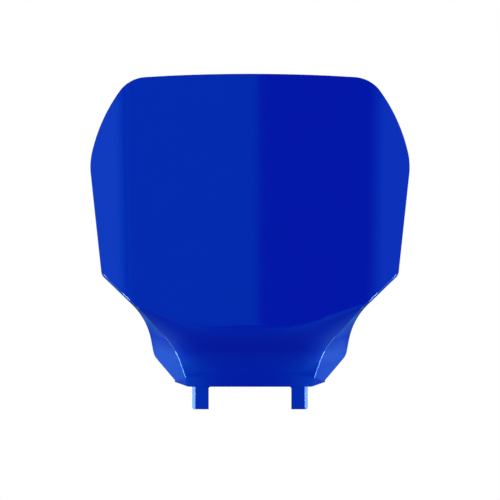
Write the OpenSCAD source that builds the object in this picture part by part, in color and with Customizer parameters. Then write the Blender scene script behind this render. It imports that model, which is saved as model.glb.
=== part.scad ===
// Front number board of an off-road motorcycle, moulded in one piece.
// Millimetres. X runs across the board, Y from its front to its back and Z up.
// The origin lies midway between the two legs, at their ends and in line with their fronts.

/* [Outline, seen from the front] */
// Height of the whole board, from the ends of the legs
board_h = 251.4; // [246:0.2:270]
// Radius of the gentle crown along the top edge
crown_r = 1345; // [900:5:4000]
// Half width at the top corners
top_corner_x = 90; // [84:0.5:94]
// Radius of the top corners
top_corner_r = 26; // [12:1:30]
// Half width at the slight shoulder under each top corner
shoulder_x = 111; // [107:0.5:113]
// Height of the shoulders
shoulder_z = 222; // [214:0.5:228]
// Radius of the shoulders
shoulder_r = 125; // [60:5:160]
// Half width where the wings are widest
widest_x = 120.5; // [117:0.5:126]
// Height at which the wings are widest
widest_z = 185.5; // [175:0.5:195]
// Radius at the widest place
widest_r = 50; // [20:1:70]
// Half width at the lower corner of each wing
wing_foot_x = 111.3; // [108:0.1:115]
// Height of the lower corner of each wing
wing_foot_z = 100.5; // [97:0.5:106]
// Radius of the lower corner of each wing
wing_foot_r = 7; // [3:0.5:10]
// Half width of the waist, where the diagonal meets the flange
waist_x = 77.4; // [75:0.2:80]
// Height of the waist
waist_z = 67.6; // [64:0.2:71]
// Radius of the waist
waist_r = 50; // [25:1:60]
// Half width at the heel of each flange
heel_x = 72.2; // [69:0.2:74]
// Height of the heel of each flange
heel_z = 40; // [36:0.5:44]
// Radius of the heel, seen from the front
heel_r = 12; // [4:0.5:14]
// Half width at the outer ends of the skirt
skirt_end_x = 56.3; // [54:0.1:59]
// Height of the outer ends of the skirt
skirt_end_z = 21.5; // [20.5:0.1:23]

/* [Face and wings, seen from above] */
// Radius of the curved main face
face_r = 500; // [350:10:1200]
// Half width of the face where the bend to the wing begins, at the top
bend_top_x = 91; // [86:0.5:94]
// The same at the lower corner of the wing
bend_foot_x = 88; // [84:0.5:91]
// Radius of the bend between face and wing
bend_r = 30; // [15:1:40]
// Angle by which the wing turns back from the face
wing_turn = 22; // [10:1:32]
// Height above which the face leans back a little
lean_z = 224; // [210:1:235]
// Angle of that lean
lean_angle = 2; // [0:0.5:5]
// Height over which the lean sets in, on each side of that place
lean_blend = 10; // [4:1:14]

/* [Scoop under the face] */
// Height at which the face breaks into the scoop, in the middle
break_z = 61.7; // [57:0.1:66]
// Slope of the scoop just under the break, from the vertical
scoop_top_angle = 18; // [12:1:24]
// Height at which the scoop is steepest
scoop_steep_z = 47; // [44:0.5:50]
// Slope of the scoop at its steepest
scoop_steep_angle = 45; // [38:1:48]
// Slope of the scoop where it meets the skirt
scoop_foot_angle = 9; // [5:1:14]
// How late the scoop's cheeks begin to curve back to the creases, as a power
cheek_power = 4; // [3:0.5:5]
// Softness of the break line
break_blend = 3.5; // [1:0.5:6]

/* [Flanges] */
// Half width of the crease at the skirt
crease_foot_x = 48.4; // [46:0.2:50]
// Depth of the crease at the skirt
crease_foot_y = 25; // [23:0.2:27]
// Half width of the crease where it bows outward
crease_bow_x = 56; // [54:0.2:58]
// Height at which the crease bows outward
crease_bow_z = 45.8; // [43:0.2:48]
// Radius of the bow
crease_bow_r = 55; // [30:1:60]
// Height at which the crease, seen from the side, bends forward
crease_bend_z = 50; // [47:0.5:52]
// Depth of the crease at that bend
crease_bend_y = 26.2; // [25:0.2:27.4]
// Radius of that bend
crease_bend_r = 40; // [20:1:50]
// Slope of the crease above the bend, from the vertical
crease_slope = 34.6; // [32:0.2:36]
// Height above the waist at which the crease turns along the wing's lower edge
crease_turn_rise = 7.6; // [6:0.2:9]
// Distance of the crease inside the outline at that turn
crease_turn_inset = 2.4; // [1.6:0.1:3]
// Radius of the turn
crease_turn_r = 60; // [40:1:70]
// Distance of the crease inside the outline near the wing's lower corner
crease_inset = 1.7; // [1:0.1:2.4]
// Distance under the wing's lower corner at which the crease runs out
crease_end_drop = 4; // [3:0.5:5]
// Radius with which it runs out
crease_end_r = 10; // [6:1:12]
// Height above the wing's lower corner at which it meets the outline
crease_end_rise = 2.4; // [2:0.1:3]
// Depth of the flange's rear edge at the skirt
rear_foot_y = 39; // [36:0.5:42]
// Depth of the rear edge at the heel
rear_heel_y = 52; // [47:0.5:56]
// Radius of the heel, seen from the side
rear_heel_r = 8; // [4:0.5:10]
// Depth of the rear edge at the waist
rear_waist_y = 43; // [40:0.5:48]
// Radius of the rear edge at the waist
rear_waist_r = 40; // [20:1:60]
// Height above the waist at which the rear edge turns in
rear_waist_rise = 4; // [2:0.5:6]
// How far the flange still reaches behind the wall where it runs out
rear_end_y = 0.5; // [0.3:0.1:1]

/* [Skirt and wall] */
// Height of the skirt's upper edge in the middle
skirt_z = 26.7; // [25:0.1:29]
// How much lower that edge is at its outer ends
skirt_drop = 5; // [4:0.1:5.2]
// Half width at which the bottom edge starts to rise
skirt_flat_x = 45.6; // [44.6:0.1:47]
// Radius of the bottom edge there
skirt_flat_r = 3; // [1:0.5:6]
// Height of the thin outer end of the skirt
skirt_tip = 0.7; // [0.5:0.1:1.2]
// Wall of the moulding
wall = 2.5; // [2:0.1:3]

/* [Legs] */
// Length of each leg below the skirt
leg_len = 16.9; // [12:0.1:18.5]
// Distance between the middles of the two legs
leg_spacing = 74.4; // [68:0.2:75]
// Width of each leg
leg_w = 12.4; // [10:0.2:13]
// Depth of each leg, from its front to the edges of its ribs
leg_d = 10; // [7:0.5:12]
// Wall of the leg's front and ribs
leg_wall = 2.2; // [1.8:0.1:3]
// Width of the slanted flat along the leg's outer front edge
leg_chamfer = 2.4; // [1.5:0.1:3]
// Radius between that flat and the leg's outer side
leg_edge_r = 2; // [1:0.1:2.4]
// Radius between the leg's inner side and the bottom edge of the skirt
leg_fillet_r = 1.6; // [0.8:0.1:2.5]
// Radius of the leg's lower outer corner
leg_tip_r = 1.5; // [0.5:0.1:3]
// How far the leg's front lies behind the skirt's
leg_setback = 0.4; // [0.2:0.1:1]
// How far the leg's ribs run up behind the skirt
leg_root = 7; // [4:0.5:8]

/* [Rear tongue] */
// Height of the tongue's upper side
tongue_z = 152; // [110:1:200]
// Length of the tongue behind the face, to the middle of its hole
tongue_reach = 27; // [20:0.5:34]
// Width of the tongue
tongue_w = 26; // [20:0.5:30]
// Thickness of the tongue
tongue_t = 4; // [3:0.5:6]
// Diameter of the hole for the mounting screw
screw_hole_d = 6.5; // [5.5:0.1:8.5]
// Diameter of the raised ring round the hole
ring_d = 14; // [12:0.5:18]
// Height of that ring above the tongue
ring_h = 1.5; // [1:0.5:3]
// Height of the two gussets under the tongue, along the face
gusset_h = 24; // [12:1:34]
// Thickness of the gussets
gusset_t = 2.4; // [1.8:0.1:3]
// Height of the gussets at the tongue's tip
gusset_tip = 1; // [0.5:0.1:2]

/* [Hidden] */
$fn = 64;
arc_steps = 8;
// How far a cut passes its faces, and how far a fillet sinks into what it joins
cut = 1;
seat = 0.3;

// Columns of the loft from the middle to the crease, as shares of that width
column_stops = [[0, 0], [8, 0.7], [15, 0.93], [17, 1]];
face_columns = 17;
flange_columns = 3;
half_columns = face_columns + flange_columns;

function mix(a, b, t) = a + (b - a) * t;
function unit(v) = v / norm(v);
function ease(t) = let (c = max(0, min(1, t))) c * c * (3 - 2 * c);

// Arc of radius r that rounds corner p between the straight lines to a and b
function corner_arc(a, p, b, r) =
    let (
        u = unit(a - p),
        v = unit(b - p),
        half = acos(u * v) / 2,
        centre = p + unit(u + v) * r / sin(half),
        from = p + u * r / tan(half) - centre,
        to = p + v * r / tan(half) - centre,
        start = atan2(from.y, from.x),
        turn = (atan2(to.y, to.x) - start + 540) % 360 - 180
    )
    [for (k = [0:arc_steps])
        let (angle = start + turn * k / arc_steps)
        centre + r * [cos(angle), sin(angle)]];

// A line through [height, offset, corner radius], with its inner corners rounded
function rounded_line(corners) =
    let (
        last = len(corners) - 1,
        p = [for (c = corners) [c[0], c[1]]]
    )
    concat(
        [p[0]],
        [for (i = [1:last - 1]) each corner_arc(p[i - 1], p[i], p[i + 1], corners[i][2])],
        [p[last]]
    );

function crown_z(x) = board_h - crown_r + sqrt(crown_r * crown_r - x * x);

// The side of the outline from the skirt to the top corner, then the crown
side_corners = [
    [heel_z, heel_x, heel_r],
    [waist_z, waist_x, waist_r],
    [wing_foot_z, wing_foot_x, wing_foot_r],
    [widest_z, widest_x, widest_r],
    [shoulder_z, shoulder_x, shoulder_r]
];
crown_step = top_corner_x / 6;
outline = rounded_line([
    [skirt_end_z, skirt_end_x],
    each side_corners,
    [crown_z(top_corner_x), top_corner_x, top_corner_r],
    for (k = [4:-1:1]) [crown_z(k * crown_step), k * crown_step, crown_r / 2],
    [board_h, 0]
]);
function outline_x(z) = lookup(z, outline);

// The loft's upper corners lie at the middle of the rounded top corners
corner_middle = 1 + len(side_corners) * (arc_steps + 1) + arc_steps / 2;
side_top_z = outline[corner_middle][0];
top_line = [for (i = [corner_middle:len(outline) - 1]) [outline[i][1], outline[i][0]]];
function top_edge_z(x) = lookup(x, top_line);

// The crease joins the outline just above the wing's lower corner
join_z = wing_foot_z + crease_end_rise;
crease_turn_z = waist_z + crease_turn_rise;
crease_end_z = wing_foot_z - crease_end_drop;
crease = rounded_line([
    [skirt_top_z(crease_foot_x), crease_foot_x],
    [crease_bow_z, crease_bow_x, crease_bow_r],
    [crease_turn_z, outline_x(crease_turn_z) - crease_turn_inset, crease_turn_r],
    [crease_end_z, outline_x(crease_end_z) - crease_inset, crease_end_r],
    [join_z, outline_x(join_z)]
]);
function crease_x(z) = z < join_z ? lookup(z, crease) : outline_x(z);

// Plan of the main face and wings: a wide arc, the bend and a straight wing
function face_plan(x, bend_x) =
    let (
        before = asin(bend_x / face_r),
        after = before + wing_turn,
        bend_y = face_r * (1 - cos(before)),
        end_x = bend_x + bend_r * (sin(after) - sin(before)),
        end_y = bend_y + bend_r * (cos(before) - cos(after))
    )
    x < bend_x ? face_r - sqrt(face_r * face_r - x * x) :
    x < end_x ? bend_y + bend_r * (cos(before) - cos(asin(sin(before) + (x - bend_x) / bend_r))) :
    end_y + (x - end_x) * tan(after);

function lean_y(z) =
    let (over = z - lean_z)
    tan(lean_angle) * (over > lean_blend ? over : pow(max(0, over + lean_blend), 2) / (4 * lean_blend));

function face_y(x, z) =
    face_plan(x, mix(bend_foot_x, bend_top_x, (z - wing_foot_z) / (board_h - wing_foot_z))) + lean_y(z);

// Profile of the scoop in the middle: one arc down to its steepest place and one from there to the skirt
upper_r = (break_z - scoop_steep_z) / (sin(scoop_steep_angle) - sin(scoop_top_angle));
lower_r = (scoop_steep_z - skirt_z) / (sin(scoop_steep_angle) - sin(scoop_foot_angle));
function scoop_profile(z) =
    z > break_z ? (break_z - z) * tan(scoop_top_angle) :
    z > scoop_steep_z ?
        upper_r * (cos(scoop_top_angle) - cos(asin(sin(scoop_top_angle) + (break_z - z) / upper_r))) :
    upper_r * (cos(scoop_top_angle) - cos(scoop_steep_angle))
    + lower_r * (cos(asin(sin(scoop_foot_angle) + (z - skirt_z) / lower_r)) - cos(scoop_steep_angle));

// Depth of the crease, and of the scoop that curves back to it from the middle
crease_side = rounded_line([
    [skirt_end_z, crease_foot_y],
    [crease_bend_z, crease_bend_y, crease_bend_r],
    [wing_foot_z, crease_bend_y - (wing_foot_z - crease_bend_z) * tan(crease_slope)]
]);
function scoop_y(x, z) =
    mix(scoop_profile(z), lookup(z, crease_side), pow(x / crease_x(min(z, wing_foot_z)), cheek_power));

// The front skin is whichever lies deeper, with a soft change between them
function skin_y(x, z) =
    let (
        face = face_y(x, z),
        scoop = scoop_y(x, z),
        t = max(0, min(1, 0.5 + (scoop - face) / (2 * break_blend)))
    )
    mix(face, scoop, t) + break_blend * t * (1 - t);

// The rear edge of the flange, seen from the side
rear_edge = rounded_line([
    [skirt_end_z, rear_foot_y],
    [heel_z, rear_heel_y, rear_heel_r],
    [waist_z + rear_waist_rise, rear_waist_y, rear_waist_r],
    [join_z, face_y(outline_x(join_z), join_z) + wall + rear_end_y]
]);
function rear_y(z) = lookup(z, rear_edge);

// The skirt's upper edge, which falls away to the sides, and its bottom edge
function skirt_top_z(x) = skirt_z - skirt_drop * pow(x / skirt_end_x, 3);
skirt_bottom = rounded_line([
    [0, leg_len],
    [skirt_flat_x, leg_len, skirt_flat_r],
    [skirt_end_x, skirt_top_z(skirt_end_x) - skirt_tip]
]);
function skirt_bottom_z(x) = lookup(x, skirt_bottom);

// Heights of the loft's rows in the middle of the board, closest in the neck and round the corners
neck_top_z = mix(break_z, wing_foot_z, 0.23);
straight_z = mix(join_z, widest_z, 0.76);
row_stops = [
    [skirt_z, 0],
    [neck_top_z, 20],
    [wing_foot_z - wing_foot_r, 28],
    [join_z, 33],
    [straight_z, 40],
    [side_top_z, 54]
];
skirt_rows = 2;
upper_rows = 54;
rows = skirt_rows + upper_rows;
function row_height(j) = lookup(j, [for (s = row_stops) [s[1], s[0]]]);
function column_share(i) = lookup(i, column_stops);

// How far a row still follows the curve of the skirt's upper edge
function skirt_pull(h) = 1 - ease((h - skirt_z) / (waist_z - skirt_z));
// How far a row already follows the crown of the top edge
function crown_pull(h) = pow(max(0, (h - widest_z) / (side_top_z - widest_z)), 2);

// A point of the front skin in row h, with side -1 or 1 and column i from the middle
function skin_point(h, side, i) =
    let (
        crease_z = h + (skirt_top_z(crease_foot_x) - skirt_z) * skirt_pull(h),
        outer_z = h + (skirt_top_z(skirt_end_x) - skirt_z) * skirt_pull(h),
        cx = crease_x(crease_z),
        share = column_share(min(i, face_columns)),
        x = cx * share,
        z = h + (crease_z - h) * pow(share, 3) + (top_edge_z(x) - side_top_z) * crown_pull(h),
        on_face = [side * x, skin_y(x, z), z],
        rear = [side * outline_x(outer_z), rear_y(outer_z), outer_z]
    )
    i <= face_columns || h >= join_z ? on_face :
    mix(on_face, rear, (i - face_columns) / flange_columns);

// The skirt drops straight down from the lowest row of the scoop
function row_point(j, side, i) =
    j >= skirt_rows ? skin_point(row_height(j - skirt_rows), side, i) :
    let (above = skin_point(skirt_z, side, i))
    [above.x, above.y, mix(skirt_bottom_z(abs(above.x)), above.z, j / skirt_rows)];

skin = [for (j = [0:rows])
    [for (i = [-half_columns:half_columns]) row_point(j, sign(i), abs(i))]];

// Direction into the wall at a point, square to the skin on both of its sides
function patch_normal(j, a, b) =
    let (
        along = skin[j][b] - skin[j][a],
        up = skin[min(rows, j + 1)][a] - skin[max(0, j - 1)][a]
    )
    unit(cross(up, along));
function into_wall(j, k) =
    let (
        last = 2 * half_columns,
        folded = row_height(max(0, j - skirt_rows)) >= join_z,
        low = folded ? flange_columns : 0,
        high = folded ? last - flange_columns : last,
        m = max(low, min(high, k)),
        left = patch_normal(j, max(low, m - 1), max(low, m - 1) + 1),
        right = patch_normal(j, min(high, m + 1) - 1, min(high, m + 1))
    )
    (left + right) / (1 + left * right);
inner_skin = [for (j = [0:rows])
    [for (k = [0:2 * half_columns]) skin[j][k] + wall * into_wall(j, k)]];

// Wall between the two skins, with the faces left out where the flange has ended
module shell() {
    across = 2 * half_columns + 1;
    layer = across * (rows + 1);
    points = concat([for (r = skin) each r], [for (r = inner_skin) each r]);
    quads = concat(
        [for (j = [0:rows - 1], k = [0:across - 2])
            let (p = j * across + k) [p, p + across, p + across + 1, p + 1]],
        [for (j = [0:rows - 1], k = [0:across - 2])
            let (p = layer + j * across + k) [p, p + 1, p + across + 1, p + across]],
        [for (k = [0:across - 2]) [k, k + 1, k + 1 + layer, k + layer]],
        [for (k = [0:across - 2])
            let (p = rows * across + k) [p, p + layer, p + 1 + layer, p + 1]],
        [for (j = [0:rows - 1])
            let (p = j * across) [p, p + layer, p + layer + across, p + across]],
        [for (j = [0:rows - 1])
            let (p = j * across + across - 1) [p, p + across, p + across + layer, p + layer]]
    );
    // The diagonals mirror each other about the middle of the board
    triangles = [for (q = quads) each q[0] % across < half_columns
        ? [[q[0], q[1], q[3]], [q[1], q[2], q[3]]]
        : [[q[0], q[1], q[2]], [q[0], q[2], q[3]]]];
    polyhedron(points, [for (t = triangles)
        let (a = points[t[0]], b = points[t[1]], c = points[t[2]])
        if (a != b && b != c && c != a) t]);
}

// Leg with an open rear: a front wall that follows the skirt, two ribs and a fillet to the skirt
leg_x = leg_spacing / 2;
leg_in = leg_x - leg_w / 2;
leg_out = leg_x + leg_w / 2;
function skirt_y(x) = skin_y(x, skirt_top_z(x));
function leg_front(x) =
    leg_setback + mix(skirt_y(leg_in), skirt_y(leg_out), (x - leg_in) / leg_w);
leg_back = leg_front(leg_x) + leg_d;
module leg() {
    height = leg_len + leg_root;
    front_in = [leg_in, leg_front(leg_in)];
    front_out = [leg_out, leg_front(leg_out)];
    web = leg_wall * norm(front_out - front_in) / leg_w;
    hollow_in = leg_in + leg_wall;
    hollow_out = leg_out - leg_wall;
    flat_in = front_out + leg_chamfer * unit(front_in - front_out);
    flat_out = front_out + [0, leg_chamfer];
    intersection() {
        linear_extrude(height) difference() {
            polygon(concat(
                [[leg_in, leg_back], front_in, flat_in],
                corner_arc(flat_in, flat_out, [leg_out, leg_back], leg_edge_r),
                [[leg_out, leg_back]]
            ));
            polygon([
                [hollow_in, leg_back + cut],
                [hollow_in, leg_front(hollow_in) + web],
                [hollow_out - leg_chamfer / 2, leg_front(hollow_out - leg_chamfer / 2) + web],
                [hollow_out, leg_front(hollow_out) + web + leg_chamfer / 2],
                [hollow_out, leg_back + cut]
            ]);
        }
        translate([0, leg_back + cut]) rotate([90, 0, 0])
            linear_extrude(leg_back + 2 * cut - leg_front(leg_in)) {
                translate([leg_in, 0]) square([leg_w - leg_tip_r, height]);
                translate([leg_x, leg_tip_r]) square([leg_w / 2, height - leg_tip_r]);
                translate([leg_out - leg_tip_r, leg_tip_r]) circle(leg_tip_r);
            }
    }
    fillet_d = wall / 2;
    translate([leg_in - leg_fillet_r, leg_front(leg_in) + seat + fillet_d, leg_len - leg_fillet_r])
        rotate([90, 0, 0]) linear_extrude(fillet_d) difference() {
            square(leg_fillet_r + seat);
            circle(leg_fillet_r);
        }
}

// Tongue on the back, with a ringed hole for the mounting screw and two gussets
tongue_root_y = wall / 2;
hole_y = wall + tongue_reach;
module tongue() {
    translate([0, 0, tongue_z - tongue_t]) linear_extrude(tongue_t) {
        translate([-tongue_w / 2, tongue_root_y]) square([tongue_w, hole_y - tongue_root_y]);
        translate([0, hole_y]) circle(tongue_w / 2);
    }
    translate([0, hole_y, tongue_z - tongue_t]) cylinder(h = tongue_t + ring_h, d = ring_d);
    for (side = [-1, 1])
        translate([side * (tongue_w / 2 - gusset_t / 2) - gusset_t / 2, 0, tongue_z - tongue_t / 2])
        rotate([90, 0, 90]) linear_extrude(gusset_t)
        polygon([[tongue_root_y, 0], [hole_y, 0], [hole_y, -tongue_t / 2 - gusset_tip],
                 [wall, -tongue_t / 2 - gusset_h], [tongue_root_y, -tongue_t / 2 - gusset_h]]);
}

// The pieces above measure depth from the middle of the face
origin_y = leg_front(leg_x);
module number_board() {
    color("#0626b0")
    translate([0, -origin_y, 0]) difference() {
        union() {
            shell();
            tongue();
            leg();
            mirror([1, 0, 0]) leg();
        }
        translate([0, hole_y, tongue_z - tongue_t - cut])
            cylinder(h = tongue_t + ring_h + 2 * cut, d = screw_hole_d);
    }
}

number_board();
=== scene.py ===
# Front number board of an off-road motorcycle: one glossy blue moulding on a white studio background
from bisect import bisect_left
from math import acos, asin, atan2, cos, pi, radians, sin, sqrt, tan

import bpy
from mathutils import Matrix, Vector


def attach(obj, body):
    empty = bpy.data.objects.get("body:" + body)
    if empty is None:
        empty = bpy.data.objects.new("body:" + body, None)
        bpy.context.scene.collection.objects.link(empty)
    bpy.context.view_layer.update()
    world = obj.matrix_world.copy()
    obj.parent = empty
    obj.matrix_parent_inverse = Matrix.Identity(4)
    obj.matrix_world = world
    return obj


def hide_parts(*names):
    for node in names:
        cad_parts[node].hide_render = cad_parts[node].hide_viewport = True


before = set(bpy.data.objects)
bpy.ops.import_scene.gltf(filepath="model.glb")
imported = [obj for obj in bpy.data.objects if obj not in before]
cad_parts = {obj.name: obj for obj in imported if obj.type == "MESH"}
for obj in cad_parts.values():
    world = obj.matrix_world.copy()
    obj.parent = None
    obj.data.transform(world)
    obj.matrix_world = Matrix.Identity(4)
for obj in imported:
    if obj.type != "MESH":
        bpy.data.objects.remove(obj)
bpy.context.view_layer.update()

mm = 0.001
weldDistance = 0.01 * mm
sliverWidth = 0.002 * mm
near = 0.1    # in millimetres, for choosing edges by their place


def deselectAll():
    bpy.ops.object.select_all(action="DESELECT")


def useOnly(piece):
    deselectAll()
    piece.select_set(True)
    bpy.context.view_layer.objects.active = piece


def applyModifier(piece, kind, **settings):
    useOnly(piece)
    modifier = piece.modifiers.new(kind.title(), kind)
    for name, value in settings.items():
        setattr(modifier, name, value)
    bpy.ops.object.modifier_apply(modifier=modifier.name)


def hexToLinear(code):
    channels = [int(code[i:i + 2], 16) / 255 for i in (1, 3, 5)]
    return tuple(c / 12.92 if c <= 0.04045 else ((c + 0.055) / 1.055) ** 2.4 for c in channels) + (1,)


def addNode(tree, kind, settings=None, links=None):
    # settings go to the node's fields or, by name or number, to its sockets; links join a socket to an output
    node = tree.nodes.new(kind)
    for name, value in (settings or {}).items():
        if isinstance(name, int) or name in node.inputs:
            node.inputs[name].default_value = value
        else:
            setattr(node, name, value)
    for name, source in (links or {}).items():
        tree.links.new(source, node.inputs[name])
    return node


# Camera: level, square on to the face, a long lens that keeps the outline nearly flat
photo = {
    "frameWidth": 375 * mm,    # what 500 pixels cover at the legs
    "middleHeight": 119.5 * mm,
    "distance": 10.0,
}

camera = bpy.data.cameras.new("camera")
camera.sensor_width = 36
camera.lens = camera.sensor_width * photo["distance"] / photo["frameWidth"]
cameraObject = bpy.data.objects.new("camera", camera)
cameraObject.location = (0, -photo["distance"], photo["middleHeight"])
cameraObject.rotation_euler = (radians(90), 0, 0)
bpy.context.scene.collection.objects.link(cameraObject)
bpy.context.scene.camera = cameraObject
bpy.context.scene.view_settings.view_transform = "Standard"
print("camera set, lens", round(camera.lens))


# Outlines and curves of the moulding, in millimetres. They are the CAD source's, apart from a softer touch at
# the break line and the skirt's draft and ends
outlineSizes = {
    "boardHeight": 251.4,
    "crownRadius": 1345,
    "corners": [          # height, half width, radius, from the skirt's end up to the top corner
        (21.5, 56.3, 0),
        (40, 72.2, 12),
        (67.6, 77.4, 50),
        (100.5, 111.3, 7),
        (185.5, 120.5, 50),
        (222, 111, 125),
    ],
    "topCorner": (90, 26),    # half width, radius
}
faceSizes = {
    "radius": 500,
    "bendTop": 91,      # half width where the wing begins, at the top edge
    "bendFoot": 88,     # and at the wing's lower corner
    "bendRadius": 30,
    "wingTurn": radians(22),
    "leanHeight": 224,
    "leanAngle": radians(2),
    "leanBlend": 10,
}
scoopSizes = {
    "breakHeight": 61.7,
    "topAngle": radians(18),
    "steepHeight": 47,
    "steepAngle": radians(45),
    "footAngle": radians(9),
    "cheekPower": 4,
    "blend": 2.0,
}
flangeSizes = {
    "creaseFoot": 48.4,
    "creaseFootDepth": 25,
    "creaseBend": (50, 26.2, 40),    # height, depth, radius, seen from the side
    "creaseSlope": radians(34.6),
    "creaseBow": (45.8, 56, 55),     # height, half width, radius
    "creaseTurn": (7.6, 2.4, 60),    # height above the waist, distance inside the outline, radius
    "creaseEnd": (4, 1.7, 10),       # height under the wing's corner, distance inside the outline, radius
    "creaseRise": 2.4,
    "rearFoot": 39,
    "rearHeel": (52, 8),
    "rearWaist": (4, 43, 40),
    "rearEnd": 0.5,
}
skirtSizes = {
    "height": 26.7,
    "drop": 5,
    "flat": (46.4, 3),               # half width, radius
    "tip": 1.4,
    "wall": 2.5,
    "draft": 1.6,        # how far its lower edge stands back
}


def mix(a, b, t):
    return a + (b - a) * t


def clamp(value, low=0.0, high=1.0):
    return max(low, min(high, value))


def ease(t):
    t = clamp(t)
    return t * t * (3 - 2 * t)


def roundedLine(corners, steps=16):
    # each inner corner (a, b, radius) becomes an arc that is tangent to its two sides
    points = [Vector(c[:2]) for c in corners]
    line = [points[0]]
    for before, corner, after, size in zip(points, points[1:], points[2:], corners[1:]):
        u, v = (before - corner).normalized(), (after - corner).normalized()
        half = acos(u.dot(v)) / 2
        centre = corner + (u + v).normalized() * size[2] / sin(half)
        start = corner + u * size[2] / tan(half) - centre
        end = corner + v * size[2] / tan(half) - centre
        angle = atan2(start.y, start.x)
        turn = (atan2(end.y, end.x) - angle + 3 * pi) % (2 * pi) - pi
        for k in range(steps + 1):
            a = angle + turn * k / steps
            line.append(centre + size[2] * Vector((cos(a), sin(a))))
    return line + [points[-1]]


def lookUp(line, key):
    keys = [p[0] for p in line]
    if key <= keys[0]:
        return line[0][1]
    if key >= keys[-1]:
        return line[-1][1]
    i = bisect_left(keys, key)
    (a, b), (c, d) = line[i - 1], line[i]
    return mix(b, d, (key - a) / (c - a))


def crownHeight(x):
    r = outlineSizes["crownRadius"]
    return outlineSizes["boardHeight"] - r + sqrt(r * r - x * x)


arcSteps = 16
cornerX, cornerR = outlineSizes["topCorner"]
outlineCorners = outlineSizes["corners"] + [(crownHeight(cornerX), cornerX, cornerR)]
crownStops = [(crownHeight(x), x, outlineSizes["crownRadius"] / 2) for x in (60, 45, 30, 15)]
outline = roundedLine(outlineCorners + crownStops + [(outlineSizes["boardHeight"], 0)], arcSteps)
cornerMiddle = 1 + (len(outlineCorners) - 2) * (arcSteps + 1) + arcSteps // 2
sideTop = outline[cornerMiddle][0]
topLine = [(p[1], p[0]) for p in reversed(outline[cornerMiddle:])]


def outlineX(z):
    return lookUp(outline, z)


skirtEndZ, skirtEndX, _ = outlineSizes["corners"][0]
heelZ = outlineSizes["corners"][1][0]
waistZ = outlineSizes["corners"][2][0]
wingFootZ = outlineSizes["corners"][3][0]
widestZ = outlineSizes["corners"][4][0]


def skirtTop(x):
    return skirtSizes["height"] - skirtSizes["drop"] * (x / skirtEndX) ** 3


joinZ = wingFootZ + flangeSizes["creaseRise"]
creaseFootX = flangeSizes["creaseFoot"]
turnRise, turnInset, turnR = flangeSizes["creaseTurn"]
endDrop, endInset, endR = flangeSizes["creaseEnd"]
crease = roundedLine([
    (skirtTop(creaseFootX), creaseFootX),
    flangeSizes["creaseBow"],
    (waistZ + turnRise, outlineX(waistZ + turnRise) - turnInset, turnR),
    (wingFootZ - endDrop, outlineX(wingFootZ - endDrop) - endInset, endR),
    (joinZ, outlineX(joinZ)),
])


def creaseX(z):
    return lookUp(crease, z) if z < joinZ else outlineX(z)


def facePlan(x, bendX):
    # wide arc, bend, then the straight wing
    r, bendR = faceSizes["radius"], faceSizes["bendRadius"]
    before = asin(bendX / r)
    after = before + faceSizes["wingTurn"]
    bendY = r * (1 - cos(before))
    endX = bendX + bendR * (sin(after) - sin(before))
    endY = bendY + bendR * (cos(before) - cos(after))
    if x < bendX:
        return r - sqrt(r * r - x * x)
    if x < endX:
        return bendY + bendR * (cos(before) - cos(asin(sin(before) + (x - bendX) / bendR)))
    return endY + (x - endX) * tan(after)


def faceY(x, z):
    rise = (z - wingFootZ) / (outlineSizes["boardHeight"] - wingFootZ)
    over, blend = z - faceSizes["leanHeight"], faceSizes["leanBlend"]
    lean = over if over > blend else max(0, over + blend) ** 2 / (4 * blend)
    bendX = mix(faceSizes["bendFoot"], faceSizes["bendTop"], rise)
    return facePlan(x, bendX) + tan(faceSizes["leanAngle"]) * lean


def scoopProfile(z):
    # one arc from the break down to the steepest place and one from there to the skirt
    top, steep, foot = scoopSizes["topAngle"], scoopSizes["steepAngle"], scoopSizes["footAngle"]
    breakZ, steepZ, low = scoopSizes["breakHeight"], scoopSizes["steepHeight"], skirtSizes["height"]
    upperR = (breakZ - steepZ) / (sin(steep) - sin(top))
    lowerR = (steepZ - low) / (sin(steep) - sin(foot))
    if z > breakZ:
        return (breakZ - z) * tan(top)
    if z > steepZ:
        return upperR * (cos(top) - cos(asin(sin(top) + (breakZ - z) / upperR)))
    steepDepth = upperR * (cos(top) - cos(steep))
    return steepDepth + lowerR * (cos(asin(sin(foot) + (z - low) / lowerR)) - cos(steep))


bendZ, bendY, bendR = flangeSizes["creaseBend"]
creaseSide = roundedLine([
    (skirtEndZ, flangeSizes["creaseFootDepth"]),
    (bendZ, bendY, bendR),
    (wingFootZ, bendY - (wingFootZ - bendZ) * tan(flangeSizes["creaseSlope"])),
])


def scoopY(x, z):
    # from the middle the scoop curves back to the creases at its sides
    share = (x / creaseX(min(z, wingFootZ))) ** scoopSizes["cheekPower"]
    return mix(scoopProfile(z), lookUp(creaseSide, z), share)


def skinY(x, z):
    # whichever lies deeper, with a soft change between them
    face, scoop, blend = faceY(x, z), scoopY(x, z), scoopSizes["blend"]
    t = clamp(0.5 + (scoop - face) / (2 * blend))
    return mix(face, scoop, t) + blend * t * (1 - t)


rearHeelY, rearHeelR = flangeSizes["rearHeel"]
rearRise, rearWaistY, rearWaistR = flangeSizes["rearWaist"]
rearEdge = roundedLine([
    (skirtEndZ, flangeSizes["rearFoot"]),
    (heelZ, rearHeelY, rearHeelR),
    (waistZ + rearRise, rearWaistY, rearWaistR),
    (joinZ, faceY(outlineX(joinZ), joinZ) + skirtSizes["wall"] + flangeSizes["rearEnd"]),
])

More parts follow.
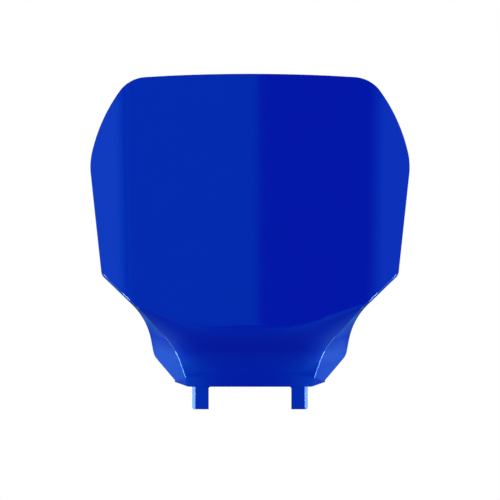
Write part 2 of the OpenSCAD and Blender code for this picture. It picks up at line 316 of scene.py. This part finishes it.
legSizes = {
    "length": 16.9,
    "spacing": 74.4,
    "width": 12.4,
    "depth": 10,
    "wall": 2.2,
    "setback": 0.4,      # of the frame's origin, behind the skirt's upper edge
    "draftShift": 1.5,   # and of the leg behind the origin, so that it stays under the skirt's draft
    "root": 7,           # up behind the skirt
    "chamfer": 2.4,      # flat along the outer front edge, which catches the side lamps
    "edge": 0.8,
    "tip": 1.5,
    "rim": 0.25,
    "hollowChamfer": 1.2,
    "fillet": 1.6,       # radius of the corner under the skirt, and its depth
    "filletSink": 0.3,   # into the leg and the skirt
    "filletShift": 0.2,  # behind the leg's front
    "filletCut": (0.03, 6),    # how much wider than the fillet its cutter is, and the cutter's length
}
flatX, flatR = skirtSizes["flat"]
skirtBottom = roundedLine([
    (0, legSizes["length"]),
    (flatX, legSizes["length"], flatR),
    (skirtEndX, skirtTop(skirtEndX) - skirtSizes["tip"]),
])

# Rows and columns of the grid: (index, height) and (index, share of the width to the crease)
skirtRows = 6
rowStops = [
    (0, skirtSizes["height"]),
    (30, scoopSizes["breakHeight"] + 9),
    (46, wingFootZ - 7),
    (56, joinZ),
    (74, widestZ - 20),
    (120, sideTop),
]
columnStops = [(0, 0), (26, 0.7), (46, 0.93), (49, 1)]
faceColumns = 49
flangeColumns = 9
halfColumns = faceColumns + flangeColumns
upperRows = rowStops[-1][0]


def skinPoint(h, side, i):
    pull = 1 - ease((h - skirtSizes["height"]) / (waistZ - skirtSizes["height"]))
    creaseZ = h + (skirtTop(flangeSizes["creaseFoot"]) - skirtSizes["height"]) * pull
    outerZ = h + (skirtTop(skirtEndX) - skirtSizes["height"]) * pull
    share = lookUp(columnStops, min(i, faceColumns))
    x = creaseX(creaseZ) * share
    crownPull = max(0, (h - widestZ) / (sideTop - widestZ)) ** 2
    z = h + (creaseZ - h) * share ** 3 + (lookUp(topLine, x) - sideTop) * crownPull
    onFace = Vector((side * x, skinY(x, z), z))
    if i <= faceColumns or h >= joinZ:
        return onFace
    rear = Vector((side * outlineX(outerZ), lookUp(rearEdge, outerZ), outerZ))
    return mix(onFace, rear, (i - faceColumns) / flangeColumns)


def gridPoint(row, column):
    # the skirt drops from the lowest row of the scoop and stands back a little at its lower edge
    side, i = (1 if column > 0 else -1), abs(column)
    if row >= skirtRows:
        return skinPoint(lookUp(rowStops, row - skirtRows), side, i)
    above = skinPoint(skirtSizes["height"], side, i)
    down = 1 - row / skirtRows
    return Vector((above.x, above.y + down * skirtSizes["draft"],
                   mix(above.z, lookUp(skirtBottom, abs(above.x)), down)))


legX = legSizes["spacing"] / 2
legIn, legOut = legX - legSizes["width"] / 2, legX + legSizes["width"] / 2


def legFront(x):
    inner, outer = skinY(legIn, skirtTop(legIn)), skinY(legOut, skirtTop(legOut))
    return legSizes["setback"] + mix(inner, outer, (x - legIn) / legSizes["width"])


# Depths above count from the middle of the face, and the frame's origin lies at the legs' fronts
originY = legFront(legX)


def toFrame(point):
    return Vector((point[0], point[1] - originY, point[2])) * mm


shellSizes = {
    "creaseBevel": 0.55 * mm,
    "rimBevel": 0.25 * mm,
}


def makeShell():
    # a flat grid is drawn into the skin of the moulding, then gets its creases, wall and edges
    columns, rows = 2 * halfColumns, skirtRows + upperRows
    bpy.ops.mesh.primitive_grid_add(x_subdivisions=columns, y_subdivisions=rows, size=1)
    shell = bpy.context.active_object
    shell.name = "numberBoard"
    creased = []
    for v in shell.data.vertices:
        column = round((v.co.x + 0.5) * columns) - halfColumns
        row = round((v.co.y + 0.5) * rows)
        v.co = toFrame(gridPoint(row, column))
        if abs(column) == faceColumns and row >= skirtRows and v.co.z < joinZ * mm:
            creased.append(v.index)
    shell.vertex_groups.new(name="crease").add(creased, 1, "REPLACE")
    useOnly(shell)
    bpy.ops.object.mode_set(mode="EDIT")
    bpy.ops.mesh.select_all(action="SELECT")
    bpy.ops.mesh.remove_doubles(threshold=weldDistance)
    bpy.ops.object.mode_set(mode="OBJECT")
    # the crease becomes a narrow flat, whose faces keep a slot number of their own for now
    for name in ("skin", "flat"):
        shell.data.materials.append(bpy.data.materials.new(name))
    applyModifier(shell, "BEVEL", width=shellSizes["creaseBevel"], segments=1, limit_method="VGROUP",
                  vertex_group="crease", material=1)
    applyModifier(shell, "SOLIDIFY", thickness=skirtSizes["wall"] * mm, offset=-1, use_even_offset=True,
                  use_quality_normals=True)
    applyModifier(shell, "BEVEL", width=shellSizes["rimBevel"], segments=3, limit_method="ANGLE",
                  angle_limit=radians(60))
    return shell


shell = makeShell()
print("shell", len(shell.data.polygons), "faces")


def addBox(name, low, high):
    # a cube between two corners given in millimetres, with its place in its mesh
    deselectAll()
    low, high = toFrame(low), toFrame(high)
    bpy.ops.mesh.primitive_cube_add(size=1, location=(low + high) / 2, scale=high - low)
    bpy.ops.object.transform_apply(location=True, rotation=True, scale=True)
    piece = bpy.context.active_object
    piece.name = name
    return piece


def addRound(name, centre, radius, height, steps=64):
    # an upright cylinder that stands on a centre given in millimetres
    deselectAll()
    middle = toFrame((centre[0], centre[1], centre[2] + height / 2))
    bpy.ops.mesh.primitive_cylinder_add(vertices=steps, radius=radius * mm, depth=height * mm,
                                        location=middle)
    bpy.ops.object.transform_apply(location=True, rotation=True, scale=True)
    piece = bpy.context.active_object
    piece.name = name
    return piece


def selectEdges(piece, test):
    # leaves the piece in edit mode with only the edges chosen whose two ends, in millimetres, pass the test
    useOnly(piece)
    bpy.ops.object.mode_set(mode="EDIT")
    bpy.ops.mesh.select_mode(type="EDGE")
    bpy.ops.mesh.select_all(action="DESELECT")
    bpy.ops.object.mode_set(mode="OBJECT")
    for edge in piece.data.edges:
        edge.select = all(test(piece.data.vertices[i].co / mm) for i in edge.vertices)
    bpy.ops.object.mode_set(mode="EDIT")


def bevelEdges(piece, test, width, segments):
    selectEdges(piece, test)
    bpy.ops.mesh.bevel(offset=width * mm, segments=segments, affect="EDGES")
    bpy.ops.object.mode_set(mode="OBJECT")


def combine(piece, other, operation):
    applyModifier(piece, "BOOLEAN", object=other, operation=operation, solver="EXACT")
    bpy.data.objects.remove(other)


def makeLeg():
    # the right leg: a front wall that follows the skirt, two ribs and an open rear
    height = legSizes["length"] + legSizes["root"]
    shift = legSizes["draftShift"]
    front, back, wall = legFront(legIn) + shift, legFront(legX) + legSizes["depth"], legSizes["wall"]
    skew, halfDepth = legFront(legOut) - legFront(legIn), (front + back) / 2 - originY
    leg = addBox("leg", (legIn, front, 0), (legOut, back, height))
    selectEdges(leg, lambda p: p.x > legOut - near and p.y < front - originY + near)
    bpy.ops.transform.translate(value=(0, skew * mm, 0))
    bpy.ops.mesh.bevel(offset=legSizes["chamfer"] * mm, segments=1, affect="EDGES")
    bpy.ops.object.mode_set(mode="OBJECT")
    bevelEdges(leg, lambda p: p.x > legOut - near and p.y < halfDepth, legSizes["edge"], 4)
    bevelEdges(leg, lambda p: p.x > legOut - near and p.z < near, legSizes["tip"], 4)
    hollow = addBox("hollow", (legIn + wall, front + wall, -1), (legOut - wall, back + 1, height + 1))
    bevelEdges(hollow, lambda p: p.x > legX and p.y < halfDepth, legSizes["hollowChamfer"], 1)
    combine(leg, hollow, "DIFFERENCE")
    applyModifier(leg, "BEVEL", width=legSizes["rim"] * mm, segments=2, limit_method="ANGLE",
                  angle_limit=radians(70))
    combine(leg, makeFillet(), "UNION")
    return leg


def makeFillet():
    # a block in the corner under the skirt, hollowed by a cylinder
    r, sink = legSizes["fillet"], legSizes["filletSink"]
    y = legFront(legIn) + legSizes["draftShift"] + legSizes["filletShift"]
    wider, cutLength = legSizes["filletCut"]
    corner = (legIn - r, y, legSizes["length"] - r)
    fillet = addBox("fillet", corner, (legIn + sink, y + r, legSizes["length"] + sink))
    deselectAll()
    # a little wide, so that it cuts into leg and skirt and doesn't just touch them
    bpy.ops.mesh.primitive_cylinder_add(vertices=48, radius=(r + wider) * mm, depth=cutLength * mm,
                                        location=toFrame(corner), rotation=(radians(90), 0, 0))
    bpy.ops.object.transform_apply(location=True, rotation=True, scale=True)
    combine(fillet, bpy.context.active_object, "DIFFERENCE")
    return fillet


def mirrorCopy(piece):
    useOnly(piece)
    bpy.ops.object.duplicate()
    copy = bpy.context.active_object
    copy.scale = (-1, 1, 1)
    bpy.ops.object.transform_apply(location=True, rotation=True, scale=True)
    bpy.ops.object.mode_set(mode="EDIT")
    bpy.ops.mesh.select_all(action="SELECT")
    bpy.ops.mesh.normals_make_consistent(inside=False)
    bpy.ops.object.mode_set(mode="OBJECT")
    return copy


rightLeg = makeLeg()
leftLeg = mirrorCopy(rightLeg)
combine(shell, rightLeg, "UNION")
combine(shell, leftLeg, "UNION")
print("legs joined,", len(shell.data.polygons), "faces")

tongueSizes = {
    "height": 152,
    "reach": 27,
    "width": 26,
    "thickness": 4,
    "edge": 0.5,
    "hole": 6.5,
    "holeClearance": (2, 6),
    "ring": 14,
    "ringHeight": 1.5,
    "ringEdge": 0.4,
    "gussetHeight": 24,
    "gussetTip": 1,
    "gussetWidth": 2.4,
    "gussetInset": 0.15,    # from the plate's side
    "gussetEdge": 0.3,
}


def roundEdges(piece, width, segments):
    applyModifier(piece, "BEVEL", width=width * mm, segments=segments, limit_method="ANGLE",
                  angle_limit=radians(60))


def makeTongue():
    # the mounting tongue on the back: a round-ended plate, a raised ring and two gussets
    wall, radius, thickness = skirtSizes["wall"], tongueSizes["width"] / 2, tongueSizes["thickness"]
    root, holeY, under = wall / 2, wall + tongueSizes["reach"], tongueSizes["height"] - thickness
    tongue = addRound("tongue", (0, holeY, under), radius, thickness, 96)
    useOnly(tongue)
    for v in tongue.data.vertices:
        if v.co.y / mm < holeY - originY - near:
            v.co.x = radius * mm * (1 if v.co.x > 0 else -1) if abs(v.co.x) > near * mm else 0
            v.co.y = (root - originY) * mm
    bpy.ops.object.mode_set(mode="EDIT")
    bpy.ops.mesh.select_all(action="SELECT")
    bpy.ops.mesh.remove_doubles(threshold=weldDistance)
    bpy.ops.object.mode_set(mode="OBJECT")
    roundEdges(tongue, tongueSizes["edge"], 3)
    ring = addRound("ring", (0, holeY, under + thickness / 2), tongueSizes["ring"] / 2,
                    thickness / 2 + tongueSizes["ringHeight"])
    roundEdges(ring, tongueSizes["ringEdge"], 3)
    combine(tongue, ring, "UNION")
    for side in (-1, 1):
        outer = side * (radius - tongueSizes["gussetInset"])
        inner = outer - side * tongueSizes["gussetWidth"]
        low, high = min(outer, inner), max(outer, inner)
        # the lower edge rises evenly from the wall to the tip
        slope = (tongueSizes["gussetHeight"] - tongueSizes["gussetTip"]) / tongueSizes["reach"]
        gusset = addBox("gusset", (low, root, under - tongueSizes["gussetHeight"] - slope * (wall - root)),
                        (high, holeY, under + thickness / 2))
        selectEdges(gusset, lambda p: p.y > holeY - originY - near and p.z < under - 1)
        bpy.ops.transform.translate(value=(0, 0, (slope * (holeY - root)) * mm))
        bpy.ops.object.mode_set(mode="OBJECT")
        roundEdges(gusset, tongueSizes["gussetEdge"], 2)
        combine(tongue, gusset, "UNION")
    # the cutter stands out below the plate and above the ring
    below, above = tongueSizes["holeClearance"]
    hole = addRound("hole", (0, holeY, under - below), tongueSizes["hole"] / 2, below + thickness + above)
    combine(tongue, hole, "DIFFERENCE")
    return tongue


tongue = makeTongue()
combine(shell, tongue, "UNION")
# the cuts leave a few faces without area, which go
useOnly(shell)
bpy.ops.object.mode_set(mode="EDIT")
bpy.ops.mesh.select_all(action="SELECT")
bpy.ops.mesh.dissolve_degenerate(threshold=sliverWidth)
bpy.ops.object.mode_set(mode="OBJECT")
print("tongue joined,", len(shell.data.polygons), "faces")


boardFinish = {
    "dyeDeep": "#0412a8",
    "dyePale": "#0413ad",
    "flowSize": 30 * mm,
    "flowHeight": 0.01 * mm,
    "grainSize": 0.6 * mm,
    "grainHeight": 0.0005 * mm,
    "roughness": (0.075, 0.1),
    "glossTint": (0.0, 0.45, 1.0, 1),
    "ior": 1.49,
}


def makeBoardMaterial():
    # polypropylene, injection moulded in a polished tool and dyed through: deep even blue under a hard,
    # slightly blue gloss, which shows the lamps nearly as sharp as paint would
    material = bpy.data.materials.new("injectionMouldedPolypropylene")
    material.use_nodes = True
    tree = material.node_tree
    tree.nodes.clear()
    place = addNode(tree, "ShaderNodeTexCoord").outputs["Object"]
    # flow and cooling leave the skin a little uneven, every 30 mm or so
    flow = addNode(tree, "ShaderNodeTexNoise", {"Scale": 1 / boardFinish["flowSize"], "Detail": 1.0},
                   {"Vector": place}).outputs["Fac"]
    # the tool's polish leaves a fine grain, drawn 0.6 mm wide, as coarse as it needs to be to show
    grain = addNode(tree, "ShaderNodeTexNoise", {"Scale": 1 / boardFinish["grainSize"], "Detail": 2.0},
                    {"Vector": place}).outputs["Fac"]
    smooth, dull = boardFinish["roughness"]
    roughness = addNode(tree, "ShaderNodeMapRange", {
        "From Min": 0.3, "From Max": 0.7, "To Min": smooth, "To Max": dull,
    }, {"Value": flow}).outputs["Result"]
    # dye streaks are barely darker than the rest
    dye = addNode(tree, "ShaderNodeMix", {
        "data_type": "RGBA", 6: hexToLinear(boardFinish["dyeDeep"]), 7: hexToLinear(boardFinish["dyePale"]),
    }, {"Factor": flow}).outputs[2]
    waves = addNode(tree, "ShaderNodeBump", {"Strength": 1.0, "Distance": boardFinish["flowHeight"]},
                    {"Height": flow}).outputs["Normal"]
    fine = addNode(tree, "ShaderNodeBump", {"Strength": 1.0, "Distance": boardFinish["grainHeight"]},
                   {"Height": grain, "Normal": waves}).outputs["Normal"]
    plastic = addNode(tree, "ShaderNodeBsdfPrincipled", {
        "IOR": boardFinish["ior"], "Specular Tint": boardFinish["glossTint"],
    }, {"Base Color": dye, "Roughness": roughness, "Normal": fine}).outputs["BSDF"]
    addNode(tree, "ShaderNodeOutputMaterial", links={"Surface": plastic})
    return material


def markCreases():
    # the crease flats get sharp edges, and then the placeholder slots go
    useOnly(shell)
    bpy.ops.object.mode_set(mode="EDIT")
    bpy.ops.mesh.select_mode(type="FACE")
    bpy.ops.mesh.select_all(action="DESELECT")
    bpy.ops.object.mode_set(mode="OBJECT")
    for polygon in shell.data.polygons:
        polygon.select = polygon.material_index == 1
        polygon.material_index = 0
    print("crease flats", sum(polygon.select for polygon in shell.data.polygons), "faces")
    bpy.ops.object.mode_set(mode="EDIT")
    bpy.ops.mesh.region_to_loop()
    bpy.ops.mesh.mark_sharp()
    bpy.ops.object.mode_set(mode="OBJECT")
    shell.data.materials.clear()
    for name in ("skin", "flat"):
        bpy.data.materials.remove(bpy.data.materials[name])


markCreases()
shell.data.materials.append(makeBoardMaterial())
bpy.ops.object.shade_smooth_by_angle(angle=radians(30))
# large faces keep their own normal and small bevel faces bend to them
applyModifier(shell, "WEIGHTED_NORMAL", keep_sharp=True)
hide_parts("number_board")
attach(shell, "root")


# Studio: white for the camera, soft even light on the colour, and panels and strips for the gloss to show
def addPanel(name, aim, distance, start, end, width, radiance):
    # a lamp stretched between two directions and turned to the point it is for; a direction is an azimuth,
    # 0 on the camera's side and 90 on the board's right, and an elevation
    ends = []
    for azimuth, elevation in (start, end):
        a, e = radians(azimuth), radians(elevation)
        ends.append(Vector(aim) + distance * Vector((sin(a) * cos(e), -cos(a) * cos(e), sin(e))))
    middle = (ends[0] + ends[1]) / 2
    along, away = (ends[1] - ends[0]).normalized(), (middle - Vector(aim)).normalized()
    lamp = bpy.data.lights.new(name, "AREA")
    lamp.shape = "RECTANGLE"
    lamp.size, lamp.size_y = (ends[1] - ends[0]).length, width
    lamp.energy = radiance * pi * lamp.size * width
    panel = bpy.data.objects.new(name, lamp)
    turn = Matrix((along, away.cross(along), away)).transposed().to_4x4()
    panel.matrix_world = Matrix.Translation(middle) @ turn
    panel.visible_camera = False
    panel.visible_diffuse = False
    bpy.context.scene.collection.objects.link(panel)


addPanel("frontPanel", (0, 0, 0.12), 6.0, (-33, 0), (1.5, 0), 3.1, 0.9)
for side in (-1, 1):
    # long strips for the creases beside the scoop and for the wings' lower edges, short ones for the legs
    addPanel("creaseStrip", (side * 0.052, 0, 0.035), 0.6, (side * 82, -13), (side * 113, -31), 0.095, 17)
    addPanel("creaseTail", (side * 0.06, 0, 0.055), 0.6, (side * 113, -33), (side * 150, -35), 0.06, 1.5)
    addPanel("legStrip", (side * 0.042, 0, 0.008), 0.35, (side * 95, -1), (side * 112, -1), 0.06, 11)
addPanel("rightLegCard", (0.037, 0, 0.008), 0.35, (19, -1), (31, -1), 0.05, 0.8)


surround = {
    # light on the colour, from each part of the surround
    "everywhere": 0.32,
    "sides": 3.9,
    "sidesFocus": 8,
    "above": 0.75,
    "table": 0.22,
    "front": 0.45,
    # what the gloss shows: name, direction read, its start and end, and the level at each
    "glossGain": 1.65,
    "glossLevels": [
        ("sides", "side", 0.36, 0.97, 0.13, 1.3),
        ("left", "right", -0.75, -0.45, 0.75, 0.0),
        ("back", "behind", 0.3, 0.6, 1.0, 0.25),
        ("tableMiddle", "above", -1.0, -0.85, 0.27, 0.42),
        ("tableSides", "above", -0.95, -0.35, 0.0, 2.4),
        ("tableBack", "behind", 0.3, 0.78, 1.0, 0.0),
        ("tableShare", "above", -0.38, -0.2, 1.0, 0.0),
        ("shade", "behind", -0.3, 0.15, 0.0, -0.35),
        ("shadeBelow", "above", -0.75, -0.55, 1.0, 0.0),
        ("glow", "behind", 0.5, 0.8, 0.0, 0.6),
        ("glowBelow", "above", -0.12, -0.03, 1.0, 0.0),
        ("tint", "behind", -0.45, 1.0, 0.0, 1.0),
    ],
    # from white in front, through light blue, to a deeper blue behind
    "glossTints": [
        (0.0, (0.61, 0.61, 0.61, 1)),
        (0.15, (0.22, 0.52, 0.9, 1)),
        (0.41, (0.16, 0.6, 1, 1)),
        (0.65, (0.2, 0.6, 1, 1)),
        (0.84, (0.07, 0.27, 1, 1)),
    ],
}


def makeWorld():
    world = bpy.data.worlds.new("studio")
    bpy.context.scene.world = world
    world.use_nodes = True
    tree = world.node_tree
    tree.nodes.clear()
    direction = addNode(tree, "ShaderNodeTexCoord").outputs["Generated"]
    right, behind, above = addNode(tree, "ShaderNodeSeparateXYZ", links={"Vector": direction}).outputs
    side = addNode(tree, "ShaderNodeMath", {"operation": "ABSOLUTE"}, {0: right}).outputs[0]
    directions = {"side": side, "right": right, "behind": behind, "above": above}

    # light on the colour: much from both sides, less from above, from the table and from the camera's side
    broad = addNode(tree, "ShaderNodeMath", {"operation": "POWER", 1: surround["sidesFocus"]},
                    {0: side}).outputs[0]
    soft = addNode(tree, "ShaderNodeMath", {
        "operation": "MULTIPLY_ADD", 1: surround["sides"], 2: surround["everywhere"],
    }, {0: broad}).outputs[0]
    for source, limit, factor in (
            (above, "MAXIMUM", surround["above"]),
            (above, "MINIMUM", -surround["table"]),
            (behind, "MINIMUM", -surround["front"])):
        part = addNode(tree, "ShaderNodeMath", {"operation": limit, 1: 0}, {0: source}).outputs[0]
        soft = addNode(tree, "ShaderNodeMath", {"operation": "MULTIPLY_ADD", 1: factor},
                       {0: part, 2: soft}).outputs[0]

    # what the gloss shows at eye level: dark beside the front panel, lighter to the sides, dim behind
    levels = {}
    for name, source, start, end, low, high in surround["glossLevels"]:
        levels[name] = addNode(tree, "ShaderNodeMapRange", {
            "From Min": start, "From Max": end, "To Min": low, "To Max": high,
        }, {"Value": directions[source]}).outputs["Result"]
    around = addNode(tree, "ShaderNodeMath", {"operation": "ADD"},
                     {0: levels["sides"], 1: levels["left"]}).outputs[0]
    around = addNode(tree, "ShaderNodeMath", {"operation": "MULTIPLY"},
                     {0: around, 1: levels["back"]}).outputs[0]
    # and below: a table that is palest towards the sides, with a shaded part away from the camera
    table = addNode(tree, "ShaderNodeMath", {"operation": "MULTIPLY"},
                    {0: levels["tableSides"], 1: levels["tableBack"]}).outputs[0]
    table = addNode(tree, "ShaderNodeMath", {"operation": "MULTIPLY_ADD"},
                    {0: table, 1: side, 2: levels["tableMiddle"]}).outputs[0]
    shade = addNode(tree, "ShaderNodeMath", {"operation": "MULTIPLY_ADD", 2: 1.0},
                    {0: levels["shade"], 1: levels["shadeBelow"]}).outputs[0]
    table = addNode(tree, "ShaderNodeMath", {"operation": "MULTIPLY"}, {0: table, 1: shade}).outputs[0]
    shown = addNode(tree, "ShaderNodeMix", {"data_type": "FLOAT"},
                    {"Factor": levels["tableShare"], "A": around, "B": table}).outputs[0]
    glow = addNode(tree, "ShaderNodeMath", {"operation": "MULTIPLY"},
                   {0: levels["glow"], 1: levels["glowBelow"]}).outputs[0]
    shown = addNode(tree, "ShaderNodeMath", {"operation": "MULTIPLY_ADD", 1: surround["glossGain"]},
                    {0: shown, 2: glow}).outputs[0]
    tint = addNode(tree, "ShaderNodeValToRGB", links={"Fac": levels["tint"]})
    stops = tint.color_ramp.elements
    stops.remove(stops[1])
    stops[0].color = surround["glossTints"][0][1]
    for position, colour in surround["glossTints"][1:]:
        stops.new(position).color = colour

    # the camera itself sees plain white
    light = addNode(tree, "ShaderNodeLightPath")
    glossy, seen = light.outputs["Is Glossy Ray"], light.outputs["Is Camera Ray"]
    strength = addNode(tree, "ShaderNodeMix", {"data_type": "FLOAT"},
                       {"Factor": glossy, "A": soft, "B": shown}).outputs[0]
    strength = addNode(tree, "ShaderNodeMix", {"data_type": "FLOAT", "B": 1.0},
                       {"Factor": seen, "A": strength}).outputs[0]
    colour = addNode(tree, "ShaderNodeMix", {"data_type": "RGBA", 6: (1, 1, 1, 1)},
                     {"Factor": glossy, 7: tint.outputs["Color"]}).outputs[2]
    background = addNode(tree, "ShaderNodeBackground", links={"Strength": strength, "Color": colour})
    addNode(tree, "ShaderNodeOutputWorld", links={"Surface": background.outputs["Background"]})


makeWorld()

floorSizes = {
    "radius": 6,
    "height": -0.35,    # well under the part, which hangs clear of it as on its motorcycle
    "colour": "#ececec",
}


def makeFloor():
    # a round sheet of white paper, matt and even, which stays out of the gloss and of the light on the colour
    deselectAll()
    bpy.ops.mesh.primitive_circle_add(vertices=64, radius=floorSizes["radius"], fill_type="NGON",
                                      location=(0, 0, floorSizes["height"]))
    floor = bpy.context.active_object
    floor.name = "studioFloor"
    floor.visible_glossy = False
    floor.visible_diffuse = False
    material = bpy.data.materials.new("whitePaper")
    material.use_nodes = True
    tree = material.node_tree
    tree.nodes.clear()
    paper = addNode(tree, "ShaderNodeBsdfDiffuse", {"Color": hexToLinear(floorSizes["colour"])})
    addNode(tree, "ShaderNodeOutputMaterial", links={"Surface": paper.outputs["BSDF"]})
    floor.data.materials.append(material)


makeFloor()
print("studio ready")
